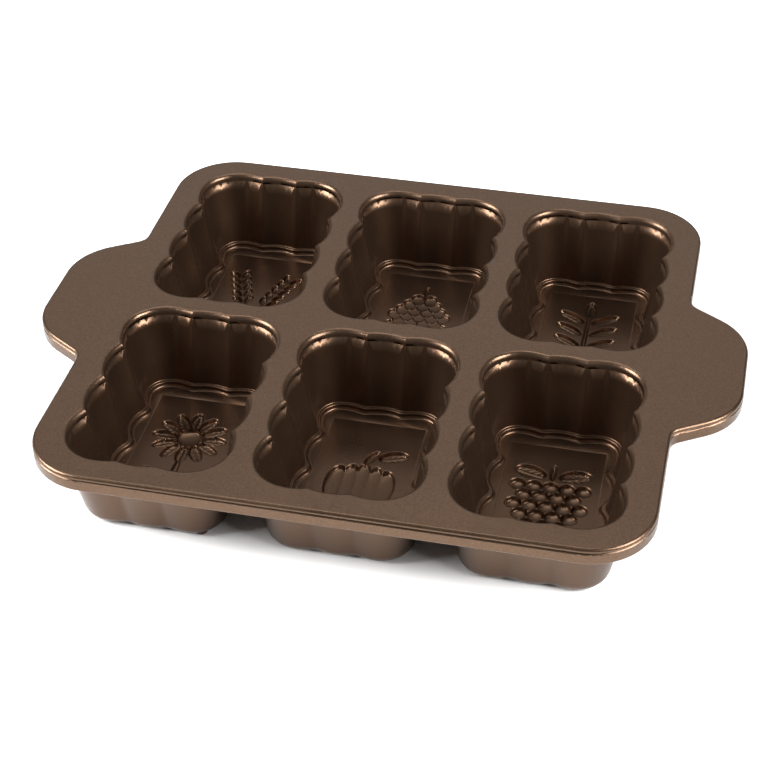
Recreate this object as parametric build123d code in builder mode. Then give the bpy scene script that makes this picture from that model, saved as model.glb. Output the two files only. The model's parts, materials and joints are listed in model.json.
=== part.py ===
from build123d import *
import os
from math import asin, cos, degrees, radians, sin, sqrt, tan

# Mini loaf pan, one coated aluminium casting with six scalloped cups, in millimetres.
# X runs from handle to handle, +Y points to the back, +Z up. The origin is under the middle of the
# pan on the plane it stands on. The named regions of the casting are separate solids that meet
# face to face, so that every seam lies flush inside a flat or evenly sloping surface.

# Whole pan
pan_height = 50.5
deck_side_margin = 14.2
deck_end_margin = 13.25
deck_corner = 35.0
deck_thickness = 4.0
cup_columns = ("left", "middle", "right")
cup_rows = ("front", "back")
column_web = 8.4
row_web = 8.3

# Rim: a round top edge, a fine groove below it and a plain band
rim_height = 9.5
rim_thickness = 5.0
rim_top_round = 1.8
rim_foot_round = 1.0
groove_height = 0.9
groove_depth = 0.8
groove_gap = 0.2

# Handles: flat tabs in the plane of the deck
handle_reach = 34.0
handle_root_half = 57.0
handle_end_half = 35.8
handle_round = 35.0
handle_root_round = 8.0
handle_bite = 10.0

# Scalloped mouth of a cup, measured at the top of the deck
side_lobe_radius = 32.0
side_lobe_half = 14.6
end_lobe_radius = 39.2
corner_lobe_radius = 24.5
mouth_half_width = 45.8
lip_round = 3.0
lip_overlap = 2.0

# Cup walls and their slopes in degrees
inner_draft = 10.7
outer_draft = 12.2
wall_thickness = 4.2
valley_round = 1.2
foot_round = 8.0

# Bottom of a cup: a narrow ledge, a shallow pocket and its floor
ledge_height = 6.5
ledge_width = 1.8
ledge_round = 0.8
pocket_floor = 3.5
pocket_cusp_round = 6.0
pocket_foot_round = 1.8

# Floor panel with a sunk figure
panel_side_margin = 0.7
panel_end_margin = 6.0
figure_depth = 2.4
figure_field = (52.2, 92.2)

# Casting lug under the front left cup
lug_radius = 3.2
lug_height = 3.2
lug_round = 1.0
lug_place = (27.7, -54.6)
lug_cup = ("front", "left")

deck_bottom = pan_height - deck_thickness
rim_bottom = pan_height - rim_height
side_lobe_x = mouth_half_width - side_lobe_radius
corner_x = mouth_half_width - corner_lobe_radius
corner_y = 3 * side_lobe_half
end_lobe_half = corner_x / 2
mouth_half_length = corner_y + corner_lobe_radius
end_lobe_y = mouth_half_length - end_lobe_radius
column_pitch = 2 * mouth_half_width + column_web
row_pitch = 2 * mouth_half_length + row_web
deck_length = (len(cup_columns) - 1) * column_pitch + 2 * (mouth_half_width + deck_side_margin)
deck_width = (len(cup_rows) - 1) * row_pitch + 2 * (mouth_half_length + deck_end_margin)
inner_slope = tan(radians(inner_draft))
outer_slope = tan(radians(outer_draft))
lip_run = lip_round * tan(radians(45 - inner_draft / 2))
ledge_inset = lip_run + (pan_height - ledge_height) * inner_slope
outer_inset = ledge_inset - wall_thickness - (deck_bottom - ledge_height) * outer_slope
pocket_inset = ledge_inset + ledge_width
pocket_depth = ledge_height - pocket_floor
cup_names = [(row, column) for row in cup_rows for column in cup_columns]


def ridge_tip(lobe_offset, lobe_radius, lobe_half):
    """How far from the cup's middle the flat floor reaches at a rounded cusp of the pocket."""
    reach = lobe_radius - pocket_inset + pocket_cusp_round
    return lobe_offset + sqrt(reach**2 - lobe_half**2) - pocket_cusp_round - pocket_foot_round


panel_width = 2 * (ridge_tip(side_lobe_x, side_lobe_radius, side_lobe_half) - panel_side_margin)
panel_length = 2 * (ridge_tip(end_lobe_y, end_lobe_radius, end_lobe_half) - panel_end_margin)
figure_zoom = min(panel_width / figure_field[0], panel_length / figure_field[1])


def cup_centre(row, column):
    """Place of a cup's middle on the deck, from the names of its row and column."""
    x = (cup_columns.index(column) - (len(cup_columns) - 1) / 2) * column_pitch
    y = (cup_rows.index(row) - (len(cup_rows) - 1) / 2) * row_pitch
    return x, y


def lobe_arcs(inset, spread=0.0):
    """Centre, radius, start angle and sweep of each arc of the scalloped outline.

    The outline lies inset millimetres inside the mouth, and arcs that end in a cusp run
    spread degrees past it."""
    side = side_lobe_radius - inset
    end = end_lobe_radius - inset
    corner = corner_lobe_radius - inset
    side_angle = degrees(asin(side_lobe_half / side)) + spread
    end_angle = degrees(asin(end_lobe_half / end)) + spread
    arcs = []
    for along in (1, -1):
        arcs.append(((0, along * end_lobe_y), end, along * 90 - end_angle, 2 * end_angle))
        for across in (1, -1):
            facing = 90 - 90 * across
            turn = across * along
            middle = (across * side_lobe_x, along * side_lobe_half)
            shoulder = (across * side_lobe_x, along * corner_y)
            bend = (across * corner_x, along * corner_y)
            haunch = (across * 2 * end_lobe_half, along * end_lobe_y)
            arcs.append((middle, side, facing - side_angle, 2 * side_angle))
            arcs.append((shoulder, side, facing, -turn * side_angle))
            arcs.append((bend, corner, facing, turn * 90))
            arcs.append((haunch, end, along * 90, turn * end_angle))
    return arcs


def is_cusp(vertex):
    """Whether a corner of the scalloped outline is a cusp between two lobes."""
    return abs(vertex.Y) < 2.5 * side_lobe_half or abs(vertex.X) < 1.5 * end_lobe_half


def scalloped_face(inset, height, cusp_round=0.0):
    """Face of a cup's ten lobes at a height, inset millimetres inside its mouth."""
    with BuildSketch(Plane.XY.offset(height)) as face:
        with BuildLine():
            for centre, radius, start, sweep in lobe_arcs(inset):
                CenterArc(centre, radius, start, sweep)
        make_face()
        if cusp_round:
            fillet(face.vertices().filter_by(is_cusp), cusp_round)
    return face.sketch


def tapered(inset, height, depth, draft, cusp_round=0.0):
    """Scalloped solid that runs down from a height and narrows by the draft angle."""
    with BuildPart() as plug:
        extrude(scalloped_face(inset, 0, cusp_round), amount=depth, taper=draft)
    return Pos(0, 0, height) * Rot(180, 0, 0) * plug.part


def lip_cutter():
    """What the round lip takes off the deck along one mouth: a profile turned about each lobe's centre."""
    slope = radians(inner_draft)
    bow = lip_round / sqrt(lip_run**2 + lip_round**2)
    with BuildPart() as cutter:
        for (x, y), radius, start, sweep in lobe_arcs(lip_run, lip_overlap):
            out = Vector(cos(radians(start)), sin(radians(start)), 0)
            across = Vector(out.Y, -out.X, 0)
            profile_plane = Plane(origin=(x, y, pan_height), x_dir=out, z_dir=across)
            deck_edge = (radius + lip_run, 0)
            wall_edge = (radius - lip_run * sin(slope), -lip_run * cos(slope))
            crown = (radius + lip_run * (1 - bow), lip_round * (bow - 1))
            inside = radius - lip_round
            with BuildSketch(profile_plane):
                with BuildLine():
                    ThreePointArc(deck_edge, crown, wall_edge)
                    Polyline(wall_edge, (inside, wall_edge[1]), (inside, lip_round))
                    Polyline((inside, lip_round), (deck_edge[0], lip_round), deck_edge)
                make_face()
            revolve(axis=Axis((x, y, 0), (0, 0, 1)), revolution_arc=sweep)
    return cutter.part


def pan_face(height, inset=0.0):
    """Outline of the deck with both handles, at a height."""
    root_x = deck_length / 2
    end_x = root_x + handle_reach
    with BuildSketch(Plane.XY.offset(height)) as face:
        RectangleRounded(deck_length, deck_width, deck_corner)
        with BuildLine():
            Polyline(
                (end_x, handle_end_half),
                (root_x, handle_root_half),
                (-root_x, handle_root_half),
                (-end_x, handle_end_half),
                (-end_x, -handle_end_half),
                (-root_x, -handle_root_half),
                (root_x, -handle_root_half),
                (end_x, -handle_end_half),
                close=True,
            )
        make_face()
        corners = face.vertices().group_by(lambda v: round(abs(v.X), 3))[-1]
        fillet(corners, handle_round)
        roots = face.vertices().filter_by(lambda v: abs(abs(v.Y) - handle_root_half) < 0.01)
        fillet(roots, handle_root_round)
        if inset:
            offset(amount=-inset)
    return face.sketch


def ellipse_row(count, step, height, length, width, turn):
    """Ellipses side by side, centred across the field, a step apart at one height."""
    first = -step * (count - 1) / 2
    return [(first + n * step, height, length, width, turn) for n in range(count)]


def mirrored(across, along, length, width, turn):
    """One ellipse on each side of the field's long middle line."""
    return [(side * across, along, length, width, side * turn) for side in (1, -1)]


# The figures are drawn on a field as large as figure_field. Each of their ellipses is a tuple of
# across, along, half length, half width and the turn of its length in degrees.


def blossom():
    """A round flower head with its petals, a stem and two leaves."""
    head = 13.0
    petals = 12
    petal_reach = 14.0
    shapes = [(0, head, 7.5, 7.5, 0), (0, -18.0, 17.0, 2.0, 90)]
    for n in range(petals):
        turn = 360 * n / petals
        across = petal_reach * cos(radians(turn))
        along = head + petal_reach * sin(radians(turn))
        shapes.append((across, along, 7.5, 3.6, turn))
    return shapes + mirrored(10.0, -21.0, 9.5, 4.2, 35)


def gourd():
    """A ribbed gourd with a stalk and one leaf."""
    shapes = [(0, -6.0, 19.0, 6.2, 90), (2.0, 17.0, 7.0, 2.6, 65), (13.5, 20.0, 8.5, 4.4, 20)]
    for across, rib_length in ((6.5, 16.8), (13.0, 14.6)):
        shapes += mirrored(across, -6.0, rib_length, 6.2, 90)
    return shapes


def berry_bunch():
    """A bunch of round berries below a stalk and two leaves."""
    berry = 4.6
    berry_step = 8.8
    layer_step = 7.6
    shapes = [(0, 25.0, 7.0, 1.8, 90)] + mirrored(12.0, 24.0, 9.0, 5.0, 15)
    for n, count in enumerate((5, 4, 5, 4, 3, 2, 1)):
        shapes += ellipse_row(count, berry_step, 13.0 - layer_step * n, berry, berry, 0)
    return shapes


def grain_ears():
    """Two ears of grain whose stalks cross."""
    kernel_rows = 5
    kernel_step = 6.6
    kernel_side = 3.3
    shapes = []
    for side in (1, -1):
        lean = radians(90 - side * 18)
        shapes.append((side, -16.0, 21.0, 1.3, degrees(lean)))
        for n in range(kernel_rows):
            reach = 22.0 + kernel_step * n
            for hand in (1, -1):
                across = side + reach * cos(lean) + hand * kernel_side * sin(lean)
                along = -20.0 + reach * sin(lean) - hand * kernel_side * cos(lean)
                shapes.append((across, along, 4.6, 2.4, degrees(lean) - hand * 28))
    return shapes


def scaled_cone():
    """A cone of overlapping scales with a short twig."""
    scale_step = 7.4
    layer_step = 5.6
    shapes = [(0, 31.0, 5.5, 1.8, 90)]
    for n, count in enumerate((2, 3, 4, 5, 4, 5, 4, 3, 2, 1)):
        shapes += ellipse_row(count, scale_step, 23.0 - layer_step * n, 4.6, 4.4, 90)
    return shapes


def leafy_sprig():
    """A stem with pairs of narrow leaves, a tip leaf and round berries at its foot."""
    leaf_pairs = 5
    leaf_step = 12.0
    shapes = [(0, 0, 34.0, 1.5, 90), (0, 33.0, 8.0, 3.4, 90)] + mirrored(6.0, -38.0, 3.6, 3.6, 0)
    for n in range(leaf_pairs):
        shapes += mirrored(10.0, 24.0 - leaf_step * n, 9.5, 3.5, 32)
    return shapes


figures = {
    ("front", "left"): blossom,
    ("front", "middle"): gourd,
    ("front", "right"): berry_bunch,
    ("back", "left"): grain_ears,
    ("back", "middle"): scaled_cone,
    ("back", "right"): leafy_sprig,
}

os.makedirs("parts", exist_ok=True)

# Plate of the deck and the handles, with the round top edge and the groove around its side
with BuildPart() as plate:
    extrude(pan_face(deck_bottom), amount=deck_thickness)
    fillet(plate.faces().sort_by(Axis.Z)[-1].outer_wire().edges(), rim_top_round)
    groove_bottom = pan_height - rim_top_round - groove_gap - groove_height
    with BuildSketch(Plane.XY.offset(groove_bottom)):
        add(pan_face(0))
        add(pan_face(0, groove_depth), mode=Mode.SUBTRACT)
    extrude(amount=groove_height, mode=Mode.SUBTRACT)

# Handles: the ends of the plate beyond the bite line
bite_x = deck_length / 2 - handle_bite
handle_middle_x = (bite_x + deck_length / 2 + handle_reach) / 2
handle_half_width = handle_root_half + handle_root_round
handle_box = (2 * (handle_middle_x - bite_x), 2 * handle_half_width, pan_height)
for side, name in ((-1, "left_handle"), (1, "right_handle")):
    with BuildPart() as handle:
        add(plate.part)
        with Locations((side * handle_middle_x, 0, pan_height / 2)):
            Box(*handle_box, mode=Mode.INTERSECT)
    handle.part.label = name
    export_step(handle.part, f"parts/{name}.step")

# Deck: the rest of the plate, with six scalloped mouths
cavity = tapered(lip_run, pan_height, pan_height - ledge_height, inner_draft)
lip = lip_cutter()
with BuildPart() as deck:
    add(plate.part)
    with Locations(*[(side * handle_middle_x, 0, pan_height / 2) for side in (-1, 1)]):
        Box(*handle_box, mode=Mode.SUBTRACT)
    for row, column in cup_names:
        x, y = cup_centre(row, column)
        add(Pos(x, y, 0) * cavity, mode=Mode.SUBTRACT)
        add(Pos(x, y, 0) * lip, mode=Mode.SUBTRACT)
deck.part.label = "deck"
export_step(deck.part, "parts/deck.step")

# Rim: the band that hangs below the plate all round, handles included
with BuildPart() as rim:
    extrude(pan_face(rim_bottom), amount=deck_bottom - rim_bottom)
    extrude(pan_face(rim_bottom, rim_thickness), amount=deck_bottom - rim_bottom, mode=Mode.SUBTRACT)
    fillet(rim.faces().sort_by(Axis.Z)[0].outer_wire().edges(), rim_foot_round)
rim.part.label = "rim"
export_step(rim.part, "parts/rim.step")

# Cup: scalloped walls, round foot, narrow ledge, shallow pocket and the opening for its floor panel
with BuildPart() as cup:
    add(tapered(outer_inset, deck_bottom, deck_bottom, outer_draft, valley_round))
    fillet(cup.faces().sort_by(Axis.Z)[0].edges(), foot_round)
    add(cavity, mode=Mode.SUBTRACT)
    extrude(
        scalloped_face(pocket_inset, ledge_height, pocket_cusp_round),
        amount=-pocket_depth,
        mode=Mode.SUBTRACT,
    )
    fillet(cup.faces().filter_by(Axis.Z).sort_by(Axis.Z)[1].edges(), pocket_foot_round)
    fillet(cup.faces().filter_by(Axis.Z).sort_by(Axis.Z)[2].inner_wires()[0].edges(), ledge_round)
    fillet(cup.faces().filter_by(Axis.Z).sort_by(Axis.Z)[2].outer_wire().edges(), ledge_round)
    with BuildSketch():
        Rectangle(panel_width, panel_length)
    extrude(amount=pocket_floor, mode=Mode.SUBTRACT)

# Casting lug: a short round stub that ends level with the foot
with BuildPart() as lug:
    with Locations(lug_place):
        Cylinder(lug_radius, lug_height, align=(Align.CENTER, Align.CENTER, Align.MIN))
    fillet(lug.faces().sort_by(Axis.Z)[0].edges(), lug_round)

# The six cups and their floor panels, each panel with its own sunk figure
for row, column in cup_names:
    x, y = cup_centre(row, column)
    with BuildPart() as placed_cup:
        add(Pos(x, y, 0) * cup.part)
        if (row, column) == lug_cup:
            add(Pos(x, y, 0) * lug.part)
    placed_cup.part.label = f"cup_{row}_{column}"
    export_step(placed_cup.part, f"parts/cup_{row}_{column}.step")
    with BuildPart() as panel:
        with BuildSketch():
            with Locations((x, y)):
                Rectangle(panel_width, panel_length)
        extrude(amount=pocket_floor)
        with BuildSketch(Plane.XY.offset(pocket_floor)):
            for across, along, length, width, turn in figures[row, column]():
                with Locations((x + figure_zoom * across, y + figure_zoom * along)):
                    Ellipse(figure_zoom * length, figure_zoom * width, rotation=turn)
        extrude(amount=-figure_depth, mode=Mode.SUBTRACT)
    panel.part.label = f"floor_{row}_{column}"
    export_step(panel.part, f"parts/floor_{row}_{column}.step")
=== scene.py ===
"""A mini loaf pan of coated cast aluminium, dressed for the picture, in metres."""

import json
import logging
import math
from collections.abc import Callable
from dataclasses import dataclass, field, replace
from enum import Enum

import bmesh
import bpy
from mathutils import Matrix, Vector

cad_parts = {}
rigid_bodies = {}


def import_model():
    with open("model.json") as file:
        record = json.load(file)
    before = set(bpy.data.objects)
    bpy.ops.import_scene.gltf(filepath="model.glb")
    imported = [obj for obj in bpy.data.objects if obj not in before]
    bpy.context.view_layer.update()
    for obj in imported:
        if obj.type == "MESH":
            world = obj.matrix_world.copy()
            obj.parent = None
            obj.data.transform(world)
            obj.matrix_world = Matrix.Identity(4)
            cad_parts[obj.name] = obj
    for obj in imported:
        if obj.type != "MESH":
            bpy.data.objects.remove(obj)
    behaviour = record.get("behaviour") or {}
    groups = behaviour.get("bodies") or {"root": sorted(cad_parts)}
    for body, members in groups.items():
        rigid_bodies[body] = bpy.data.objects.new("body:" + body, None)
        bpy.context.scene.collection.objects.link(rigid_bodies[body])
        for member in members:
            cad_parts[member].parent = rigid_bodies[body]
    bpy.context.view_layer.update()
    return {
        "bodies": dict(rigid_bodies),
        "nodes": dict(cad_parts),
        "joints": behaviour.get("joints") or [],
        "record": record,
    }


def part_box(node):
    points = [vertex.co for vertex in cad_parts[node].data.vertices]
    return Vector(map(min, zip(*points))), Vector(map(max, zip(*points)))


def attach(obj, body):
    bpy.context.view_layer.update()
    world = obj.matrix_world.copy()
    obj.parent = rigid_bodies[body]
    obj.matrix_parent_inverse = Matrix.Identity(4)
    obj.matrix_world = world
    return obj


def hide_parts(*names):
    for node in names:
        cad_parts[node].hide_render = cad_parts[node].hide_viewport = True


LOG = logging.getLogger("mini_loaf_pan")
MM = 0.001
CUP_ROWS = ("front", "back")
CUP_COLUMNS = ("left", "middle", "right")
UPRIGHT = 90.0


@dataclass(frozen=True)
class Profile:
    """How the bottom of a sunk ellipse is shaped.

    Args:
        depth_share: Share of the relief's depth at the ellipse's edge.
        crown_share: Share of the relief's crown that its middle adds.
        lean_share: Share of the crown that its near end adds.
        veined: Whether a leaf's veins stand up in it.
    """

    depth_share: float
    crown_share: float
    lean_share: float = 0.0
    veined: bool = False


class Bulge(Enum):
    """The kinds of sunk ellipse that the figures use."""

    LEAF = Profile(1.0, 0.5, veined=True)
    STEM = Profile(0.8, 0.3)
    BERRY = Profile(0.6, 1.5)
    RIB = Profile(0.7, 1.4)
    SCALE = Profile(0.75, 0.5, lean_share=0.8)


@dataclass(frozen=True)
class Mark:
    """One sunk ellipse of a figure, in millimetres on the figure's own field.

    Args:
        across: Place across the field.
        along: Place along the field.
        length: Half its length.
        width: Half its width.
        turn: Turn of its length, in degrees.
        bulge: Shape of its bottom.
    """

    across: float
    along: float
    length: float
    width: float
    turn: float
    bulge: Bulge

    def local(self, x: float, y: float) -> tuple[float, float]:
        """Gives a point's place along and across the ellipse, where 1 is its edge.

        Args:
            x: Point across the field.
            y: Point along the field.

        Returns:
            The share of the half length and of the half width.
        """
        angle = math.radians(self.turn)
        dx = x - self.across
        dy = y - self.along
        u = (dx * math.cos(angle) + dy * math.sin(angle)) / self.length
        v = (dy * math.cos(angle) - dx * math.sin(angle)) / self.width
        return u, v


def mirrored(mark: Mark) -> list[Mark]:
    """Puts one mark on each side of the field's long middle line.

    Args:
        mark: The right one.

    Returns:
        The two marks.
    """
    return [mark, replace(mark, across=-mark.across, turn=-mark.turn)]


def mark_row(count: int, step: float, mark: Mark) -> list[Mark]:
    """Sets copies of a mark side by side, centred across the field.

    Args:
        count: How many.
        step: Distance from one to the next.
        mark: The mark, whose own place across the field isn't used.

    Returns:
        The marks.
    """
    first = -step * (count - 1) / 2
    return [replace(mark, across=first + n * step) for n in range(count)]


def blossom() -> list[Mark]:
    """Draws a round flower head with its petals, a stem and two leaves."""
    head_height = 13.0
    head_radius = 7.5
    petal_count = 12
    petal_reach = 14.0
    marks = [Mark(0, -18.0, 17.0, 2.0, UPRIGHT, Bulge.STEM)]
    for n in range(petal_count):
        turn = 360 * n / petal_count
        across = petal_reach * math.cos(math.radians(turn))
        along = head_height + petal_reach * math.sin(math.radians(turn))
        marks.append(Mark(across, along, 7.5, 3.6, turn, Bulge.LEAF))
    marks.append(Mark(0, head_height, head_radius, head_radius, 0, Bulge.BERRY))
    return marks + mirrored(Mark(10.0, -21.0, 9.5, 4.2, 35, Bulge.LEAF))


def gourd() -> list[Mark]:
    """Draws a ribbed gourd with a stalk and one leaf."""
    middle = -6.0
    rib_width = 6.2
    side_ribs = ((6.5, 16.8), (13.0, 14.6))
    marks = [
        Mark(0, middle, 19.0, rib_width, UPRIGHT, Bulge.RIB),
        Mark(2.0, 17.0, 7.0, 2.6, 65, Bulge.STEM),
        Mark(13.5, 20.0, 8.5, 4.4, 20, Bulge.LEAF),
    ]
    for across, rib_length in side_ribs:
        marks += mirrored(Mark(across, middle, rib_length, rib_width, UPRIGHT, Bulge.RIB))
    return marks


def berry_bunch() -> list[Mark]:
    """Draws a bunch of round berries below a stalk and two leaves."""
    berry_radius = 4.6
    berry_step = 8.8
    layer_step = 7.6
    top_layer = 13.0
    layer_counts = (5, 4, 5, 4, 3, 2, 1)
    marks = [Mark(0, 25.0, 7.0, 1.8, UPRIGHT, Bulge.STEM)]
    marks += mirrored(Mark(12.0, 24.0, 9.0, 5.0, 15, Bulge.LEAF))
    for n, count in enumerate(layer_counts):
        berry = Mark(0, top_layer - layer_step * n, berry_radius, berry_radius, 0, Bulge.BERRY)
        marks += mark_row(count, berry_step, berry)
    return marks


def grain_ears() -> list[Mark]:
    """Draws two ears of grain whose stalks cross."""
    ear_lean = 18.0
    root_height = -20.0
    first_kernel = 22.0
    kernel_count = 5
    kernel_step = 6.6
    kernel_side = 3.3
    kernel_tilt = 28.0
    marks = []
    for side in (1, -1):
        lean = math.radians(UPRIGHT - side * ear_lean)
        marks.append(Mark(side, -16.0, 21.0, 1.3, math.degrees(lean), Bulge.STEM))
        for n in range(kernel_count):
            reach = first_kernel + kernel_step * n
            for hand in (1, -1):
                across = side + reach * math.cos(lean) + hand * kernel_side * math.sin(lean)
                along = root_height + reach * math.sin(lean) - hand * kernel_side * math.cos(lean)
                turn = math.degrees(lean) - hand * kernel_tilt
                marks.append(Mark(across, along, 4.6, 2.4, turn, Bulge.LEAF))
    return marks


def scaled_cone() -> list[Mark]:
    """Draws a cone of overlapping scales with a short twig."""
    scale_step = 7.4
    layer_step = 5.6
    top_layer = 23.0
    layer_counts = (2, 3, 4, 5, 4, 5, 4, 3, 2, 1)
    marks = [Mark(0, 31.0, 5.5, 1.8, UPRIGHT, Bulge.STEM)]
    for n, count in enumerate(layer_counts):
        scale = Mark(0, top_layer - layer_step * n, 4.6, 4.4, UPRIGHT, Bulge.SCALE)
        marks += mark_row(count, scale_step, scale)
    return marks


def leafy_sprig() -> list[Mark]:
    """Draws a stem with pairs of narrow leaves, a tip leaf and berries at its foot."""
    leaf_pairs = 5
    leaf_step = 12.0
    top_pair = 24.0
    marks = [
        Mark(0, 0, 34.0, 1.5, UPRIGHT, Bulge.STEM),
        Mark(0, 33.0, 8.0, 3.4, UPRIGHT, Bulge.LEAF),
    ]
    marks += mirrored(Mark(6.0, -38.0, 3.6, 3.6, 0, Bulge.BERRY))
    for n in range(leaf_pairs):
        marks += mirrored(Mark(10.0, top_pair - leaf_step * n, 9.5, 3.5, 32, Bulge.LEAF))
    return marks


FIGURES: dict[tuple[str, str], Callable[[], list[Mark]]] = {
    ("front", "left"): blossom,
    ("front", "middle"): gourd,
    ("front", "right"): berry_bunch,
    ("back", "left"): grain_ears,
    ("back", "middle"): scaled_cone,
    ("back", "right"): leafy_sprig,
}


def smooth_step(low: float, high: float, value: float) -> float:
    """Blends softly from 0 to 1 while a value goes from low to high.

    Args:
        low: Where the blend starts.
        high: Where it ends.
        value: The value.

    Returns:
        The blend.
    """
    t = min(1.0, max(0.0, (value - low) / (high - low)))
    return t * t * (3 - 2 * t)


@dataclass(frozen=True)
class Relief:
    """The depth of a sunk figure below the floor.

    Args:
        wall: Distance from a mark's edge over which its wall falls away, in millimetres.
        depth: Depth at a mark's edge, in millimetres.
        crown: How much deeper a mark's middle is, in millimetres.
        vein: Height of a leaf's veins, in millimetres.
        vein_width: Width of a leaf's middle vein, in millimetres.
        side_vein_count: Side veins from a leaf's middle to its tip.
        side_vein_sweep: How far the side veins lean towards the tip.
        side_vein_power: How narrow the side veins are.
        side_vein_share: Height of the side veins, as a share of the middle vein's.
        side_vein_start: Share of a leaf's half width where the side veins reach full height.
    """

    wall: float = 0.9
    depth: float = 1.7
    crown: float = 1.1
    vein: float = 0.5
    vein_width: float = 0.45
    side_vein_count: float = 5.0
    side_vein_sweep: float = 3.0
    side_vein_power: int = 8
    side_vein_share: float = 0.6
    side_vein_start: float = 0.25

    def vein_ridge(self, mark: Mark, u: float, v: float) -> float:
        """Gives how high a leaf's veins stand at a point.

        Args:
            mark: The leaf.
            u: Point along the leaf, where 1 is its edge.
            v: Point across the leaf, where 1 is its edge.

        Returns:
            The share of the full vein height.
        """
        middle_vein = math.exp(-((v * mark.width / self.vein_width) ** 2))
        wave = math.cos(math.pi * (self.side_vein_count * u - self.side_vein_sweep * abs(v)))
        side_vein = max(0.0, wave) ** self.side_vein_power
        start = smooth_step(0.0, self.side_vein_start, abs(v))
        return max(middle_vein, self.side_vein_share * side_vein * start)

    def of_mark(self, mark: Mark, x: float, y: float) -> float:
        """Gives how deep one mark is at a point.

        Args:
            mark: The mark.
            x: Point across the field, in millimetres.
            y: Point along the field, in millimetres.

        Returns:
            The depth in millimetres, 0 outside the mark.
        """
        u, v = mark.local(x, y)
        reach = math.hypot(u, v)
        if reach >= 1.0:
            return 0.0
        profile = mark.bulge.value
        wall = smooth_step(0.0, self.wall, (1.0 - reach) * min(mark.length, mark.width))
        dome = math.sqrt(max(0.0, 1.0 - reach * reach))
        lean = (1.0 - u) / 2
        bottom = self.depth * profile.depth_share
        bottom += self.crown * (profile.crown_share * dome + profile.lean_share * lean)
        if profile.veined:
            bottom -= self.vein * self.vein_ridge(mark, u, v) * wall
        return wall * bottom

    def at(self, marks: list[Mark], x: float, y: float) -> float:
        """Gives the depth of a figure at a point, where the deepest mark counts.

        Args:
            marks: The figure's marks.
            x: Point across the field, in millimetres.
            y: Point along the field, in millimetres.

        Returns:
            The depth in millimetres.
        """
        deepest = 0.0
        for mark in marks:
            if abs(x - mark.across) < mark.length and abs(y - mark.along) < mark.length:
                deepest = max(deepest, self.of_mark(mark, x, y))
        return deepest


class NodeGroups:
    """Node groups that more than one material uses."""

    GRAIN_SCALE = 2600.0
    CLOUD_SCALE = 28.0
    GRAIN_DETAIL = 3.0
    GRAIN_ROUGHNESS = 0.65
    CLOUD_DETAIL = 4.0
    PIT_SHARE = 0.45

    @classmethod
    def cast_grain(cls) -> bpy.types.ShaderNodeTree:
        """Builds the coating's grain: fine speckle, slow clouds and a height for the bump.

        Returns:
            The group, with a speckle, a cloud and a height that change over the surface.
        """
        tree = bpy.data.node_groups.new("cast_grain", "ShaderNodeTree")
        faces = tree.interface
        for name, value in (("Grain Scale", cls.GRAIN_SCALE), ("Cloud Scale", cls.CLOUD_SCALE)):
            socket = faces.new_socket(name, in_out="INPUT", socket_type="NodeSocketFloat")
            socket.default_value = value
        for name in ("Speckle", "Cloud", "Height"):
            faces.new_socket(name, in_out="OUTPUT", socket_type="NodeSocketFloat")
        nodes = tree.nodes
        links = tree.links
        source = nodes.new("NodeGroupInput")
        result = nodes.new("NodeGroupOutput")
        place = nodes.new("ShaderNodeTexCoord")
        fine = nodes.new("ShaderNodeTexNoise")
        fine.inputs["Detail"].default_value = cls.GRAIN_DETAIL
        fine.inputs["Roughness"].default_value = cls.GRAIN_ROUGHNESS
        pits = nodes.new("ShaderNodeTexVoronoi")
        slow = nodes.new("ShaderNodeTexNoise")
        slow.inputs["Detail"].default_value = cls.CLOUD_DETAIL
        pit_scale = nodes.new("ShaderNodeMath")
        pit_scale.operation = "MULTIPLY"
        pit_scale.inputs[1].default_value = cls.PIT_SHARE
        total = nodes.new("ShaderNodeMath")
        total.operation = "ADD"
        for texture in (fine, pits, slow):
            links.new(place.outputs["Object"], texture.inputs["Vector"])
        links.new(source.outputs["Grain Scale"], fine.inputs["Scale"])
        links.new(source.outputs["Grain Scale"], pit_scale.inputs[0])
        links.new(pit_scale.outputs[0], pits.inputs["Scale"])
        links.new(source.outputs["Cloud Scale"], slow.inputs["Scale"])
        links.new(fine.outputs["Fac"], total.inputs[0])
        links.new(pits.outputs["Distance"], total.inputs[1])
        links.new(fine.outputs["Fac"], result.inputs["Speckle"])
        links.new(slow.outputs["Fac"], result.inputs["Cloud"])
        links.new(total.outputs[0], result.inputs["Height"])
        return tree


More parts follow.
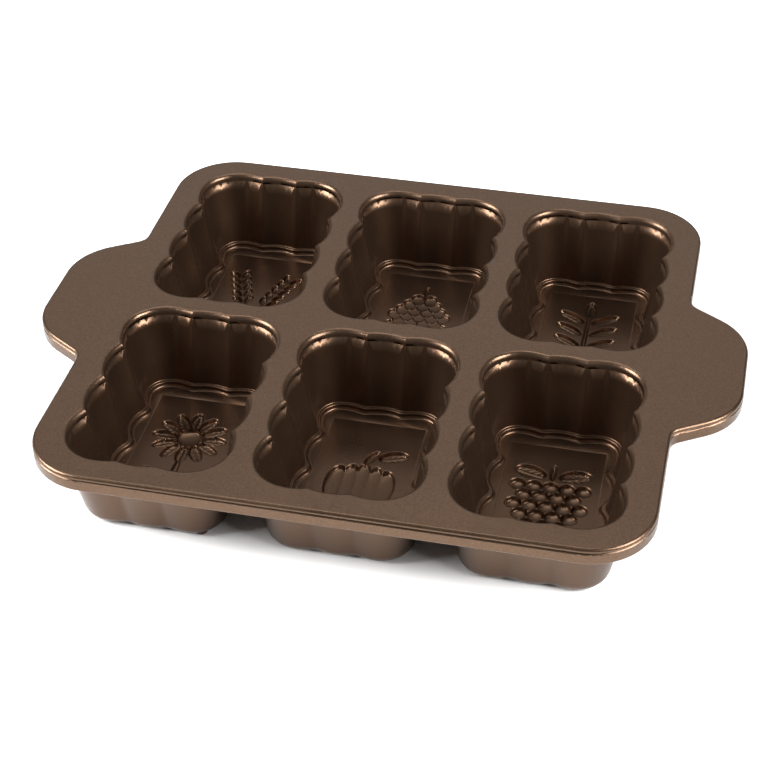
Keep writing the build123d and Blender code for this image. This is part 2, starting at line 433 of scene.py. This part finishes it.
@dataclass(frozen=True)
class BronzeCoating:
    """The satin bronze coating of the casting.

    Args:
        name: Name of the material.
        dark: Colour in the grain's low spots.
        light: Colour on the grain's high spots.
        smooth: Lowest roughness.
        rough: Highest roughness.
        metal: How metallic the coating looks.
        grain_depth: Height of the grain in metres.
        grain_scale: Grains per metre.
        speckle: How strongly the grain tints the colour, from 0 to 1.
        bump_strength: How strongly the grain's height bends the light.
        noise_low: Noise value that counts as lowest.
        noise_high: Noise value that counts as highest.
    """

    name: str
    dark: tuple[float, float, float]
    light: tuple[float, float, float]
    smooth: float = 0.26
    rough: float = 0.36
    metal: float = 0.88
    grain_depth: float = 0.00006
    grain_scale: float = 1300.0
    speckle: float = 0.8
    bump_strength: float = 0.6
    noise_low: float = 0.3
    noise_high: float = 0.7

    def spread(self, nodes: bpy.types.Nodes, low: float, high: float) -> bpy.types.ShaderNode:
        """Adds a node that spreads noise between two values.

        Args:
            nodes: The material's nodes.
            low: Value at the lowest noise.
            high: Value at the highest noise.

        Returns:
            The node.
        """
        node = nodes.new("ShaderNodeMapRange")
        node.inputs["From Min"].default_value = self.noise_low
        node.inputs["From Max"].default_value = self.noise_high
        node.inputs["To Min"].default_value = low
        node.inputs["To Max"].default_value = high
        return node

    def build(self, grain: bpy.types.ShaderNodeTree) -> bpy.types.Material:
        """Builds the material.

        Args:
            grain: The shared grain group.

        Returns:
            The material.
        """
        material = bpy.data.materials.new(self.name)
        material.use_nodes = True
        nodes = material.node_tree.nodes
        links = material.node_tree.links
        shader = nodes["Principled BSDF"]
        shader.inputs["Metallic"].default_value = self.metal
        group = nodes.new("ShaderNodeGroup")
        group.node_tree = grain
        group.inputs["Grain Scale"].default_value = self.grain_scale
        tint = nodes.new("ShaderNodeMix")
        tint.data_type = "RGBA"
        tint.inputs["A"].default_value = (*self.dark, 1.0)
        tint.inputs["B"].default_value = (*self.light, 1.0)
        share = self.spread(nodes, (1.0 - self.speckle) / 2, (1.0 + self.speckle) / 2)
        gloss = self.spread(nodes, self.smooth, self.rough)
        bump = nodes.new("ShaderNodeBump")
        bump.inputs["Strength"].default_value = self.bump_strength
        bump.inputs["Distance"].default_value = self.grain_depth
        links.new(group.outputs["Speckle"], share.inputs["Value"])
        links.new(share.outputs["Result"], tint.inputs["Factor"])
        links.new(tint.outputs["Result"], shader.inputs["Base Color"])
        links.new(group.outputs["Cloud"], gloss.inputs["Value"])
        links.new(gloss.outputs["Result"], shader.inputs["Roughness"])
        links.new(group.outputs["Height"], bump.inputs["Height"])
        links.new(bump.outputs["Normal"], shader.inputs["Normal"])
        return material


@dataclass(frozen=True)
class Finishes:
    """The finishes of the pan's regions, all one coating; the cups and floor panels are given a darker,
    less speckled colour and shallower grain than the deck.

    Args:
        deck: Finish of the deck, rim and handles.
        cup: Finish of the cups.
        floor: Finish of the floor panels.
    """

    deck: BronzeCoating = BronzeCoating("deck_coating", (0.066, 0.038, 0.023), (0.125, 0.078, 0.050))
    cup: BronzeCoating = BronzeCoating(
        "cup_coating", (0.066, 0.037, 0.022), (0.096, 0.056, 0.034), speckle=0.3, grain_depth=0.00003
    )
    floor: BronzeCoating = BronzeCoating(
        "floor_coating", (0.066, 0.037, 0.022), (0.096, 0.056, 0.034), speckle=0.3, grain_depth=0.00003
    )


def add_piece(
    shape: bmesh.types.BMesh, mesh_name: str, name: str, finish: bpy.types.Material, crease: float
) -> bpy.types.Object:
    """Turns a mesh into a dressed object, shaded smooth below an angle.

    Args:
        shape: The mesh, which is freed.
        mesh_name: Name of the mesh.
        name: Name of the object.
        finish: Its material.
        crease: Angle in degrees above which an edge stays sharp.

    Returns:
        The object.
    """
    mesh = bpy.data.meshes.new(mesh_name)
    shape.to_mesh(mesh)
    shape.free()
    piece = bpy.data.objects.new(name, mesh)
    bpy.context.scene.collection.objects.link(piece)
    mesh.materials.append(finish)
    with bpy.context.temp_override(object=piece, active_object=piece, selected_editable_objects=[piece]):
        bpy.ops.object.shade_smooth_by_angle(angle=math.radians(crease))
    return piece


@dataclass
class CastRegion:
    """A region of the casting that keeps the solid's shape, as one merged, smoothly shaded mesh.

    Args:
        node: Name of the node that it stands for.
        finish: Its material.
        crease: Angle in degrees above which an edge stays sharp.
        merge_distance: Distance within which loose corners are joined, in metres.
    """

    node: str
    finish: bpy.types.Material
    crease: float = 32.0
    merge_distance: float = 0.000002

    def build(self, frame: dict) -> bpy.types.Object:
        """Copies the node's mesh, merges its loose triangles and dresses the copy.


        Returns:
            The finished piece.
        """
        shape = bmesh.new()
        shape.from_mesh(frame["nodes"][self.node].data)
        bmesh.ops.remove_doubles(shape, verts=shape.verts, dist=self.merge_distance)
        piece = add_piece(shape, self.node + "_surface", self.node + "_casting", self.finish, self.crease)
        evening = piece.modifiers.new("flat_faces_stay_flat", "WEIGHTED_NORMAL")
        evening.keep_sharp = True
        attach(piece, "root")
        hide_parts(self.node)
        return piece


@dataclass
class FloorPanel:
    """The floor of a cup with its sunk figure as rounded relief.

    Args:
        row: Row of the cup.
        column: Column of the cup.
        finish: Its material.
        field_size: Width and length of the figures' field, in millimetres.
        cell: Size of a mesh cell, in millimetres.
        crease: Angle in degrees above which an edge stays sharp.
        relief: Depths of the figure.
    """

    row: str
    column: str
    finish: bpy.types.Material
    field_size: tuple[float, float] = (52.2, 92.2)
    cell: float = 0.4
    crease: float = 60.0
    relief: Relief = field(default_factory=Relief)

    @property
    def node(self) -> str:
        """Names the panel's node."""
        return f"floor_{self.row}_{self.column}"

    def relief_grid(self, size: Vector) -> bmesh.types.BMesh:
        """Builds the panel's upper face as a fine grid with its figure sunk into it.

        Args:
            size: Size of the panel in metres.

        Returns:
            The mesh, centred on the origin.
        """
        unit_half = 0.5
        figure_unit = min(size.x / self.field_size[0], size.y / self.field_size[1])
        marks = FIGURES[self.row, self.column]()
        shape = bmesh.new()
        columns = round(size.x / MM / self.cell)
        rows = round(size.y / MM / self.cell)
        bmesh.ops.create_grid(shape, x_segments=columns, y_segments=rows, size=unit_half)
        bmesh.ops.scale(shape, vec=(size.x, size.y, 1), verts=shape.verts)
        for vertex in shape.verts:
            depth = self.relief.at(marks, vertex.co.x / figure_unit, vertex.co.y / figure_unit)
            vertex.co.z = -depth * MM
        return shape

    def build(self) -> bpy.types.Object:
        """Builds the panel's sunk face, gives it sides and closes it below.

        Returns:
            The finished piece.
        """
        low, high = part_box(self.node)
        centre = (low + high) / 2
        shape = self.relief_grid(high - low)
        rim = [edge for edge in shape.edges if edge.is_boundary]
        skirt = bmesh.ops.extrude_edge_only(shape, edges=rim)["geom"]
        for item in skirt:
            if isinstance(item, bmesh.types.BMVert):
                item.co.z = low.z - high.z
        bottom = [edge for edge in shape.edges if edge.is_boundary]
        bmesh.ops.contextual_create(shape, geom=bottom)
        bmesh.ops.recalc_face_normals(shape, faces=shape.faces)
        bmesh.ops.translate(shape, vec=(centre.x, centre.y, high.z), verts=shape.verts)
        name = self.node + "_relief"
        piece = add_piece(shape, name, name, self.finish, self.crease)
        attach(piece, "root")
        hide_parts(self.node)
        return piece


@dataclass
class LoafPan:
    """The whole pan: deck, rim, handles, cups and floor panels.

    Args:
        finishes: Finishes of its regions.
        cast_nodes: Nodes that have the deck's finish.
        cup_crease: Angle in degrees above which a cup's edge stays sharp.
    """

    finishes: Finishes = Finishes()
    cast_nodes: tuple[str, ...] = ("deck", "rim", "left_handle", "right_handle")
    cup_crease: float = 40.0

    def build(self, frame: dict) -> list[bpy.types.Object]:
        """Builds every piece and reports it.


        Returns:
            The pieces.
        """
        grain = NodeGroups.cast_grain()
        deck_finish = self.finishes.deck.build(grain)
        cup_finish = self.finishes.cup.build(grain)
        floor_finish = self.finishes.floor.build(grain)
        pieces = [CastRegion(node, deck_finish).build(frame) for node in self.cast_nodes]
        for row in CUP_ROWS:
            for column in CUP_COLUMNS:
                cup = CastRegion(f"cup_{row}_{column}", cup_finish, crease=self.cup_crease)
                pieces.append(cup.build(frame))
                pieces.append(FloorPanel(row, column, floor_finish).build())
        for piece in pieces:
            LOG.info("%s: %d faces", piece.name, len(piece.data.polygons))
        return pieces


@dataclass(frozen=True)
class Softbox:
    """One soft rectangular light that faces the pan.

    Args:
        name: Its name.
        place: Its place in metres.
        size: Its width and height in metres.
        power: Its power in watts.
    """

    name: str
    place: tuple[float, float, float]
    size: tuple[float, float]
    power: float

    def hang(self) -> None:
        """Hangs the light and turns it towards the pan."""
        data = bpy.data.lights.new(self.name, "AREA")
        data.shape = "RECTANGLE"
        data.size = self.size[0]
        data.size_y = self.size[1]
        data.energy = self.power
        light = bpy.data.objects.new(self.name, data)
        light.location = self.place
        light.rotation_mode = "QUATERNION"
        light.rotation_quaternion = (-Vector(self.place)).to_track_quat("-Z", "Y")
        bpy.context.scene.collection.objects.link(light)


@dataclass
class Studio:
    """The pale floor, the soft lights and the camera.

    Args:
        eye: Place of the camera in metres.
        lens: Focal length in millimetres.
        sensor_width: Width of the camera's sensor in millimetres.
        shift: Shift of the lens to the right and up, as a share of the picture's width.
        azimuth: Turn of the camera round the pan to the right of its front, in degrees.
        elevation: Angle at which the camera looks down, in degrees.
        roll: Turn of the camera about its own axis, in degrees.
        floor_size: Side of the floor in metres.
        floor_tone: Brightness of the floor's surface.
        floor_roughness: Roughness of the floor.
        floor_gloss: How strongly the floor mirrors.
        surround_strength: Brightness of the white surroundings.
        softboxes: The lights.
    """

    eye: tuple[float, float, float] = (0.17781, -0.78352, 0.64050)
    lens: float = 83.70
    sensor_width: float = 36.0
    shift: tuple[float, float] = (-0.0036, 0.0003)
    azimuth: float = 12.69
    elevation: float = 38.25
    roll: float = -0.457
    floor_size: float = 6.0
    floor_tone: float = 0.93
    floor_roughness: float = 0.6
    floor_gloss: float = 0.2
    surround_strength: float = 0.12
    softboxes: tuple[Softbox, ...] = (
        Softbox("left_softbox", (-1.9, -0.6, 1.4), (1.3, 1.3), 150.0),
        Softbox("right_softbox", (1.9, -0.5, 1.4), (1.3, 1.3), 130.0),
        Softbox("top_softbox", (-0.3, 0.6, 1.9), (1.4, 0.9), 14.0),
        Softbox("back_softbox", (-0.35, 1.9, 1.35), (2.6, 1.2), 9.0),
    )

    def camera(self) -> bpy.types.Object:
        """Makes the camera at the photograph's place.

        Returns:
            The camera.
        """
        data = bpy.data.cameras.new("camera")
        data.lens = self.lens
        data.sensor_width = self.sensor_width
        data.shift_x = self.shift[0]
        data.shift_y = self.shift[1]
        camera = bpy.data.objects.new("camera", data)
        turn = math.radians(self.azimuth)
        rise = math.radians(self.elevation)
        back = Vector((math.sin(turn) * math.cos(rise), -math.cos(turn) * math.cos(rise), math.sin(rise)))
        roll = Matrix.Rotation(math.radians(self.roll), 4, "Z").to_quaternion()
        camera.rotation_mode = "QUATERNION"
        camera.rotation_quaternion = (-back).to_track_quat("-Z", "Y") @ roll
        camera.location = self.eye
        bpy.context.scene.collection.objects.link(camera)
        bpy.context.scene.camera = camera
        return camera

    def floor(self) -> bpy.types.Object:
        """Makes the pale floor.

        Returns:
            The floor.
        """
        shape = bmesh.new()
        bmesh.ops.create_grid(shape, x_segments=1, y_segments=1, size=self.floor_size / 2)
        mesh = bpy.data.meshes.new("floor")
        shape.to_mesh(mesh)
        shape.free()
        floor = bpy.data.objects.new("studio_floor", mesh)
        bpy.context.scene.collection.objects.link(floor)
        material = bpy.data.materials.new("pale_floor")
        material.use_nodes = True
        shader = material.node_tree.nodes["Principled BSDF"]
        shader.inputs["Base Color"].default_value = (self.floor_tone, self.floor_tone, self.floor_tone, 1.0)
        shader.inputs["Roughness"].default_value = self.floor_roughness
        shader.inputs["Specular IOR Level"].default_value = self.floor_gloss
        mesh.materials.append(material)
        return floor

    def world(self) -> None:
        """Makes the even white surroundings."""
        world = bpy.data.worlds.new("white_surroundings")
        bpy.context.scene.world = world
        world.use_nodes = True
        back = world.node_tree.nodes["Background"]
        back.inputs["Color"].default_value = (1.0, 1.0, 1.0, 1.0)
        back.inputs["Strength"].default_value = self.surround_strength

    def build(self) -> None:
        """Builds the whole studio."""
        self.camera()
        self.floor()
        self.world()
        for softbox in self.softboxes:
            softbox.hang()
        scene = bpy.context.scene
        scene.view_settings.view_transform = "Standard"
        scene.view_settings.look = "None"


def main() -> None:
    """Builds the pan and its studio."""
    logging.basicConfig(level=logging.INFO, format="%(name)s: %(message)s")
    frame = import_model()
    LoafPan().build(frame)
    Studio().build()


if __name__ == "__main__":
    main()
